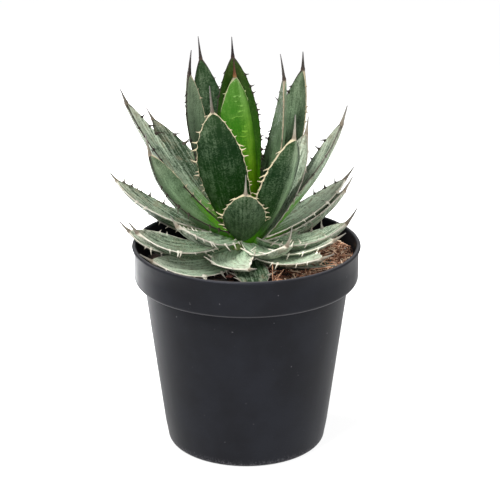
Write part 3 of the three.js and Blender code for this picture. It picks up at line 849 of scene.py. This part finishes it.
LIP_ROUND = (LIP_RADIUS - BAND_RADIUS + WALL) / 2
pot_outline = [
    (DISC_RADIUS, 0),
    *corner(FOOT_RADIUS - FOOT_ROUND, FOOT_ROUND, FOOT_ROUND, -90, 0, 8),
    *[(wall_radius(h), h) for h in (15, 30, 50, 70, 90, 110, 122)],
    (BODY_TOP_RADIUS, BAND_FOOT),
    *corner(BAND_RADIUS - BAND_ROUND, BAND_FOOT + BAND_ROUND, BAND_ROUND, -70, 0, 8),
    (BAND_RADIUS, BAND_FOOT + 14),
    (BAND_RADIUS, POT_HEIGHT - LIP_HEIGHT - 0.5),
    *corner(LIP_RADIUS - LIP_ROUND, POT_HEIGHT - LIP_ROUND, LIP_ROUND, 0, 180, 10),
    *inside_outline(),
]
print("points on the pot's outline:", len(pot_outline))

# %% [markdown]
# Turning and drilling the pot
#
# The outline stops short of the axis at both floors, where flat discs close it. A Boolean then cuts six
# drain holes through the thin floor.

# %% Pot shell
DRAIN_HOLES = 6
DRAIN_RADIUS = 4.5
DRAIN_CIRCLE = 38
DRILL_OUTLINE = [(DRAIN_RADIUS, -4), (DRAIN_RADIUS, 8)]
DRILL_SIDES = 24
SHARP_ANGLE = 50


def turned(outline, sides):
    points = [(radius * c, radius * s, height) for radius, height in outline for c, s in circle(sides)]
    return points, join_rings(len(outline), sides)


def drilled(pot, material):
    """The pot's mesh with its drain holes cut."""
    points, faces = turned(DRILL_OUTLINE, DRILL_SIDES)
    drills = []
    for c, s in circle(DRAIN_HOLES):
        moved = np.array(points) + (DRAIN_CIRCLE * c, DRAIN_CIRCLE * s, 0)
        drills.append(new_piece("drill", moved, faces, material))
        pot.modifiers.new("hole", "BOOLEAN").object = drills[-1]
    bpy.context.view_layer.update()
    mesh = bpy.data.meshes.new_from_object(pot.evaluated_get(bpy.context.evaluated_depsgraph_get()))
    for drill in drills:
        bpy.data.objects.remove(drill)
    return mesh


print("holes to drill:", DRAIN_HOLES)

# %% [markdown]
# The pot's plastic
#
# The plastic is nearly black, a little cloudy, dusty and scuffed. The lip's top and the band's low edge
# get a painted highlight, a thin paler line where these rounded edges catch the light. Dust gathers at the
# foot, and a fine mould seam runs down the body.

# %% Pot finish
LIP_HIGHLIGHT = 156.4, 157.0
BAND_EDGE = 129.8
BAND_EDGE_HIGHLIGHT = 0.3, 1.0
FOOT_DUST = 1, 8
SEAM_TURN = -15
SEAM_HALF_ANGLE = 0.004


def fade_mm(value, limits):
    """A fade between two limits in millimetres."""
    return fade(value, limits[0] * MM, limits[1] * MM)


def plastic():
    material, tree, shader = new_material("charcoal_plastic")
    where = position(tree)
    across, back, height = parts(where)
    drawn = speckle(stretched(where, (60, 60, 7)), 1.0)
    dust = speckle(where, 900, detail=2.0, rough=0.7)
    cloud = speckle(where, 22)
    base = mix(fade(cloud, 0.3, 0.7), screen(21, 21, 23), screen(27, 28, 32))
    base = mix(times(fade(dust, 0.68, 0.8), 0.3), base, screen(80, 82, 87))

    # Painted highlight: thin paler lines on the lip's top and along the band's low edge.
    from_edge = math("ABSOLUTE", math("SUBTRACT", height, BAND_EDGE * MM))
    wear_and_highlight = math("MAXIMUM", fade_mm(height, LIP_HIGHLIGHT), rest(fade_mm(from_edge, BAND_EDGE_HIGHLIGHT)))
    scuffs = fade(speckle(where, 210, detail=2.0, rough=0.8), 0.72, 0.77)
    base = mix(math("MAXIMUM", times(wear_and_highlight, 0.22), times(scuffs, 0.3)), base, screen(126, 124, 128))
    foot_dust = times(rest(fade_mm(height, FOOT_DUST)), fade(dust, 0.5, 0.66))
    base = mix(times(foot_dust, 0.5), base, screen(120, 118, 122))

    from_seam = math("ABSOLUTE", math("SUBTRACT", math("ARCTAN2", back, across), radians(SEAM_TURN)))
    seam = times(math("LESS_THAN", from_seam, SEAM_HALF_ANGLE), math("LESS_THAN", height, BAND_FOOT * MM))
    base = mix(times(seam, 0.7), base, screen(14, 14, 16))
    feed(shader, Base_Color=base, Roughness=plus(plus(times(drawn, 0.16), 0.3), times(cloud, 0.1)),
         Normal=relief(0.12, 0.0003, plus(drawn, dust)), Specular_IOR_Level=0.12,
         Specular_Tint=(0.84, 0.88, 1.06, 1.0))
    return material


pot_plastic = plastic()
pot = new_piece("nursery_pot", *turned(pot_outline, POT_SIDES), pot_plastic)
pot_mesh = drilled(pot, pot_plastic)
pot.modifiers.clear()
pot.data = pot_mesh
pot.data.set_sharp_from_angle(angle=radians(SHARP_ANGLE))
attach(pot, "root")
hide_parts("pot")
print("triangles in the pot:", triangles(pot))

# %% [markdown]
# The soil
#
# Agaves are potted in coarse coir and bark. Its top is a fine grid raised by noise of several sizes over
# the solid's own gentle heap. It sinks a little at the back on the right, where the pot's inside shows.
# Under the surface the grid follows the pot's inner wall to its floor.

# %% Soil
SOIL_EDGE_HEIGHT = 134
SOIL_HEAP = 4
SOIL_BUMP = 1
RAKED_HEIGHT = 8
RAKED_TURN = 0.25
RAKED_SPREAD = 0.25
RAKED_OUT = 0.85
RAKED_REACH = 0.28
SUNK = 5
SOIL_GAP = 0.3
SOIL_RINGS = 110
SOIL_SIDES = 260


def soil_top(x, y):
    """Height of the soil's top, with the solid's own heaps and bumps."""
    out = min(sqrt(x * x + y * y) / LIP_RADIUS, 1)
    angle = np.arctan2(y, x)
    bumps = sin(3 * angle + 1) * cos(5 * out * pi) + sin(7 * angle + 6 * out)
    turned_away = (cos(angle - RAKED_TURN) - 1) / RAKED_SPREAD
    raked = RAKED_HEIGHT * np.exp(turned_away - ((out - RAKED_OUT) / RAKED_REACH) ** 2)
    return SOIL_EDGE_HEIGHT + SOIL_HEAP * (1 - out * out) + raked + SOIL_BUMP * bumps * out


def crumbs(x, y):
    clods = noise.fractal(Vector((x * 0.12, y * 0.12, 3.0)), 0.7, 2.1, 5)
    grit = noise.noise(Vector((x * 0.9, y * 0.9, 9.0)))
    at_back = smooth_step(y, -12, 4) * smooth_step(x, 30, 60)
    return 1.6 * clods + 0.5 * grit - SUNK * smooth_step(sqrt(x * x + y * y), 74, 80) * at_back


soil_edge = BAND_RADIUS - WALL - SOIL_GAP
soil_points = []
for i in range(1, SOIL_RINGS + 1):
    radius = soil_edge * (i / SOIL_RINGS) ** 0.8
    ring = [(radius * c, radius * s) for c, s in circle(SOIL_SIDES)]
    soil_points += [(x, y, soil_top(x, y) + crumbs(x, y)) for x, y in ring]
buried = [(radius, height) for radius, height in inside_outline()[1:] if height < SOIL_EDGE_HEIGHT - 2]
soil_points += turned([(radius - SOIL_GAP, height + SOIL_GAP) for radius, height in buried], SOIL_SIDES)[0]
soil_faces = join_rings(len(soil_points) // SOIL_SIDES, SOIL_SIDES, turned_over=True)
print("points on the soil:", len(soil_points))

# %% [markdown]
# The soil's colours
#
# Clods run from nearly black gaps to pale dry coir, with paler grit. The right side keeps these colours.
# Shade is painted on the rest: left of the middle, under the leaves, and at the back against the wall, the
# soil is darkened almost to black.

# %% Soil finish
SOIL_PAINTED_SHADE = screen(16, 12, 11)
DRY_COIR = screen(190, 140, 110)
UNSHADED_SIDE = -20, 45
SHADE_REACH = 155, 159
SHADE_BACK = -12, 4


def coir_soil():
    material, tree, shader = new_material("coir_soil")
    where = position(tree)
    grit = speckle(where, 900, rough=0.7)
    colour = ramp(speckle(where, 160, detail=4.0), [
        (0.36, (12, 8, 7)), (0.48, (48, 28, 20)), (0.6, (128, 82, 58)), (0.72, (212, 166, 134))])
    colour = mix(times(fade(grit, 0.55, 0.7), 0.6), colour, DRY_COIR)
    side, back, _ = parts(where)
    reach = add("VectorMath", {"operation": "LENGTH"}, _0=where).outputs["Value"]
    # Painted shade: the soil left of the middle and at the back against the wall is darkened almost to
    # black.
    shaded = times(fade_mm(reach, SHADE_REACH), fade_mm(back, SHADE_BACK))
    unshaded = times(fade_mm(side, UNSHADED_SIDE), rest(shaded))
    colour = mix(unshaded, mix(0.85, colour, SOIL_PAINTED_SHADE), colour)
    feed(shader, Base_Color=colour, Roughness=0.95, Normal=relief(0.8, 0.0008, grit))
    return material


soil = new_piece("coir_soil", soil_points, soil_faces, coir_soil())
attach(soil, "root")
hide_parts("soil")
print("triangles in the soil:", triangles(soil))

# %% [markdown]
# Loose coir fibres
#
# Short brown fibres lie on the soil and are raked up against the pot's wall on one side. Each is a thin
# tube along a short wandering line. They are real geometry, because hair particles would be lost when the
# model is exported. Their colour varies at random, with painted shade: fibres towards the left, under the
# leaves, are darker, and those at the right, in the light, are paler.

# %% Fibres
FIBRES = 1900
FIBRE_SEED = 77
FIBRE_POINTS = 7
FIBRE_SIDES = 4
FIBRE_REACH = 79
FIBRES_RAKED = 0.85
RAKED_AT = -0.3
RAKED_FAN = 0.5
RAKED_INWARD = 16
HEAP_HEIGHT = 9
HEAP_START = 35
HEAP_DEPTH = 45
FRONT_RADIUS = 78
BACK_RADIUS = 71
SPREAD_RADIUS = 76
FIBRE_BEND = 0.4


def coir_fibre_material():
    material, tree, shader = new_material("coir_fibre")
    colour = ramp(read(tree, "fibre_tone_and_painted_shade"), [
        (0.0, (46, 28, 20)), (0.35, (130, 80, 56)), (0.6, (216, 160, 126)), (1.0, (246, 220, 190))])
    colour = mix(times(speckle(position(tree), 700), 0.3), colour, screen(70, 42, 30))
    feed(shader, Base_Color=colour, Roughness=0.8)
    return material


def unit(vector):
    return vector / (np.linalg.norm(vector) + 1e-9)


def tube(line, radii, first):
    """Points and faces of a thin closed tube along a line."""
    points = []
    for i, (at, radius) in enumerate(zip(line, radii)):
        ahead = np.subtract(line[min(i + 1, len(line) - 1)], line[max(i - 1, 0)])
        one = unit(np.cross(ahead, (0.1, 0.2, 1.0)))
        two = unit(np.cross(ahead, one))
        points += [np.array(at) + radius * (c * one + s * two) for c, s in circle(FIBRE_SIDES)]
    return points, join_rings(len(line), FIBRE_SIDES, first)


def fibre_start(random):
    """Direction, distance from the axis and lift, mostly where the fibres are raked up."""
    if random.random() < FIBRES_RAKED:
        angle = random.gauss(RAKED_AT, RAKED_FAN)
        radius = (FRONT_RADIUS if angle < -0.15 else BACK_RADIUS) - abs(random.gauss(0, RAKED_INWARD))
        heap = max(0, cos(angle + 0.2)) * max(radius - HEAP_START, 0) / HEAP_DEPTH
        return angle, radius, random.uniform(0, HEAP_HEIGHT) * heap
    angle = random.uniform(0, 2 * pi)
    return angle, SPREAD_RADIUS * sqrt(random.random()), 0


def wander(random, rise):
    return Vector((random.gauss(0, 1), random.gauss(0, 1), random.gauss(0, rise)))


def fibre_line(random):
    angle, radius, lift = fibre_start(random)
    at = Vector((radius * cos(angle), radius * sin(angle), 0))
    way = wander(random, 0.25).normalized()
    step = random.uniform(1.0, 3.6)
    line = []
    for _ in range(FIBRE_POINTS):
        ground = soil_top(at.x, at.y) + 0.4 + lift
        line.append((at.x, at.y, max(ground + at.z, ground - lift)))
        way = (way + FIBRE_BEND * wander(random, 0.5)).normalized()
        at = at + way * step
        reach = at.xy.length
        if reach > FIBRE_REACH:
            at.xy *= FIBRE_REACH / reach
        at.z = min(max(at.z, -1), 3)
    return line


random = Random(FIBRE_SEED)
fibre_points, fibre_faces, fibre_tones_and_painted_shades = [], [], []
for _ in range(FIBRES):
    line = fibre_line(random)
    # Painted shade: fibres further left, under the leaves, get a darker colour.
    shade = random.random() * (0.12 + 0.88 * smooth_step(line[0][0], -10, 35))
    thick = random.uniform(0.18, 0.36) + 0.26 * shade
    radii = [thick * (1 - 0.6 * abs(2 * i / (FIBRE_POINTS - 1) - 1)) for i in range(FIBRE_POINTS)]
    points, faces = tube(line, radii, len(fibre_points))
    fibre_points += points
    fibre_faces += faces
    fibre_tones_and_painted_shades += [shade] * len(points)
fibres = new_piece("loose_coir", fibre_points, fibre_faces, coir_fibre_material())
store(fibres, "fibre_tone_and_painted_shade", fibre_tones_and_painted_shades)
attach(fibres, "root")
print("triangles in the fibres:", triangles(fibres))

# %% [markdown]
# Litter on the soil
#
# A few things fell into the pot: a forked dry twig, a dried scrap of leaf, crumbs of bark and white grains
# of perlite. Crumbs and grains are rings of a ball, each point pushed in or out by noise. Their rows give
# place and size.

# %% Litter
TWIG = [
    ([(17, -66, 136), (19.5, -60, 143), (19, -52, 149), (19, -45, 156)], 0.7),
    ([(19.3, -56, 146), (23, -52, 149), (27, -48, 153)], 0.5),
]
CRUMBS = [(-64, 12, 136.5, 2.2), (-57, 20, 136.5, 1.8), (-60, 4, 137, 1.5), (-50, 24, 137, 1.6),
          (-68, 2, 136, 1.3)]
GRAINS = [(75.4, 28.5, 141, 0.8), (52, -44, 143.5, 0.7), (-8, -60, 137, 0.6)]
SCRAP = [(-15, -31, 141), (-10, -33, 141.6), (-8.5, -29, 142.4), (-13, -27, 141.8)]
SCRAP_THICK = 0.4
LUMP_RINGS = 5
LUMP_SIDES = 8


def branch(line, thick, first):
    return tube(line, [thick * (1 - 0.5 * i / len(line)) for i in range(len(line))], first)


def lump(x, y, z, size, first):
    middle = Vector((x, y, z))
    points = []
    for i in range(1, LUMP_RINGS + 1):
        tilt = pi * i / (LUMP_RINGS + 1)
        for c, s in circle(LUMP_SIDES):
            ray = Vector((sin(tilt) * c, sin(tilt) * s, cos(tilt)))
            points.append(middle + ray * size * (1 + 0.6 * noise.noise(ray * 1.7 + middle)))
    return points, join_rings(LUMP_RINGS, LUMP_SIDES, first, turned_over=True)


def scrap(corners, first):
    under = [(x, y, z - SCRAP_THICK) for x, y, z in corners]
    return corners + under, join_rings(2, len(corners), first, turned_over=True)


def gathered(name, make, rows, finish, light, dark):
    """One piece of litter from all its rows, in two mottled colours."""
    material, tree, shader = new_material(finish)
    shade = fade(speckle(position(tree), 620), 0.35, 0.65)
    feed(shader, Base_Color=mix(shade, screen(*light), screen(*dark)), Roughness=0.85)
    points, faces = [], []
    for row in rows:
        more_points, more_faces = make(*row, len(points))
        points += more_points
        faces += more_faces
    piece = new_piece(name, points, faces, material)
    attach(piece, "root")
    print("triangles in", name, triangles(piece))


gathered("dry_twig", branch, TWIG, "dry_wood", (168, 130, 100), (92, 60, 44))
gathered("bark_crumbs", lump, CRUMBS, "bark", (112, 76, 56), (44, 30, 24))
gathered("perlite_grains", lump, GRAINS, "perlite", (236, 232, 224), (196, 190, 182))
gathered("leaf_scrap", scrap, [(SCRAP,)], "dried_leaf", (190, 132, 118), (140, 88, 78))

# %% [markdown]
# The stem
#
# The stem is almost hidden. Its solid already has the right form, so it stays, and only gets a skin like
# the pale foot of a leaf.

# %% Stem finish
def stem_skin():
    material, tree, shader = new_material("stem_skin")
    patches = speckle(position(tree), 180)
    colour = ramp(patches, [(0.3, (70, 90, 40)), (0.55, (120, 140, 75)), (0.75, (165, 160, 115))])
    feed(shader, Base_Color=colour, Roughness=0.7, Normal=relief(0.4, 0.0005, patches))
    return material


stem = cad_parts["stem"]
skin = stem_skin()
for slot in stem.material_slots:
    slot.material = skin
print("stem's material slots:", len(stem.material_slots))

# %% [markdown]
# Floor and light
#
# Product pictures on white use a lit table and large soft lights, so that shadows almost vanish. The floor
# glows and reflects little, which keeps its white only just above the screen's: were it brighter, it
# would wash out the thin spines that stand against it. An even world fills in from all sides. The key
# lamp at the upper left gives the leaves a lit and a shaded side, the fill and front lamps soften it, and
# the edge lamp lights the patch of floor that the pot's left edge mirrors.

# %% Floor and light
FLOOR_GREY = 0.18
FLOOR_GLOW = 0.86
FLOOR_REACH = 12000
FLOOR_DROP = 0.2
WORLD_STRENGTH = 0.56
WHITE = (1.0, 1.0, 1.0, 1.0)

floor_material, _, floor_shader = new_material("pale_floor")
feed(floor_shader, Base_Color=(FLOOR_GREY, FLOOR_GREY, FLOOR_GREY, 1.0), Roughness=0.9,
     Specular_IOR_Level=0.0, Emission_Color=WHITE, Emission_Strength=FLOOR_GLOW)
corners = ((-1, -1), (1, -1), (1, 1), (-1, 1))
floor_points = [(x * FLOOR_REACH, y * FLOOR_REACH, -FLOOR_DROP) for x, y in corners]
floor = new_piece("floor", floor_points, [(0, 1, 2, 3)], floor_material, smooth=False)

world = bpy.data.worlds.new("studio")
bpy.context.scene.world = world
world.use_nodes = True
feed(world.node_tree.nodes["Background"], Color=WHITE, Strength=WORLD_STRENGTH)


def soft_lamp(name, place, aim, width, height, power, spread=180):
    lamp = bpy.data.lights.new(name, "AREA")
    lamp.shape = "RECTANGLE"
    lamp.size = width
    lamp.size_y = height
    lamp.energy = power
    lamp.spread = radians(spread)
    holder = bpy.data.objects.new(name, lamp)
    holder.location = place
    holder.rotation_euler = (Vector(aim) - Vector(place)).to_track_quat("-Z", "Y").to_euler()
    bpy.context.scene.collection.objects.link(holder)


soft_lamp("key", (-0.6, -0.9, 1.6), (0, 0, 0.2), 0.5, 0.5, 40)
soft_lamp("fill", (1.2, -0.3, 1.0), (0, 0, 0.2), 0.9, 0.9, 7)
soft_lamp("front", (0.3, -1.5, 0.7), (0, 0, 0.15), 0.9, 0.5, 11)
soft_lamp("edge", (-0.8, 0.7, 0.9), (-0.45, 0.6, 0.0), 0.4, 0.4, 76, spread=50)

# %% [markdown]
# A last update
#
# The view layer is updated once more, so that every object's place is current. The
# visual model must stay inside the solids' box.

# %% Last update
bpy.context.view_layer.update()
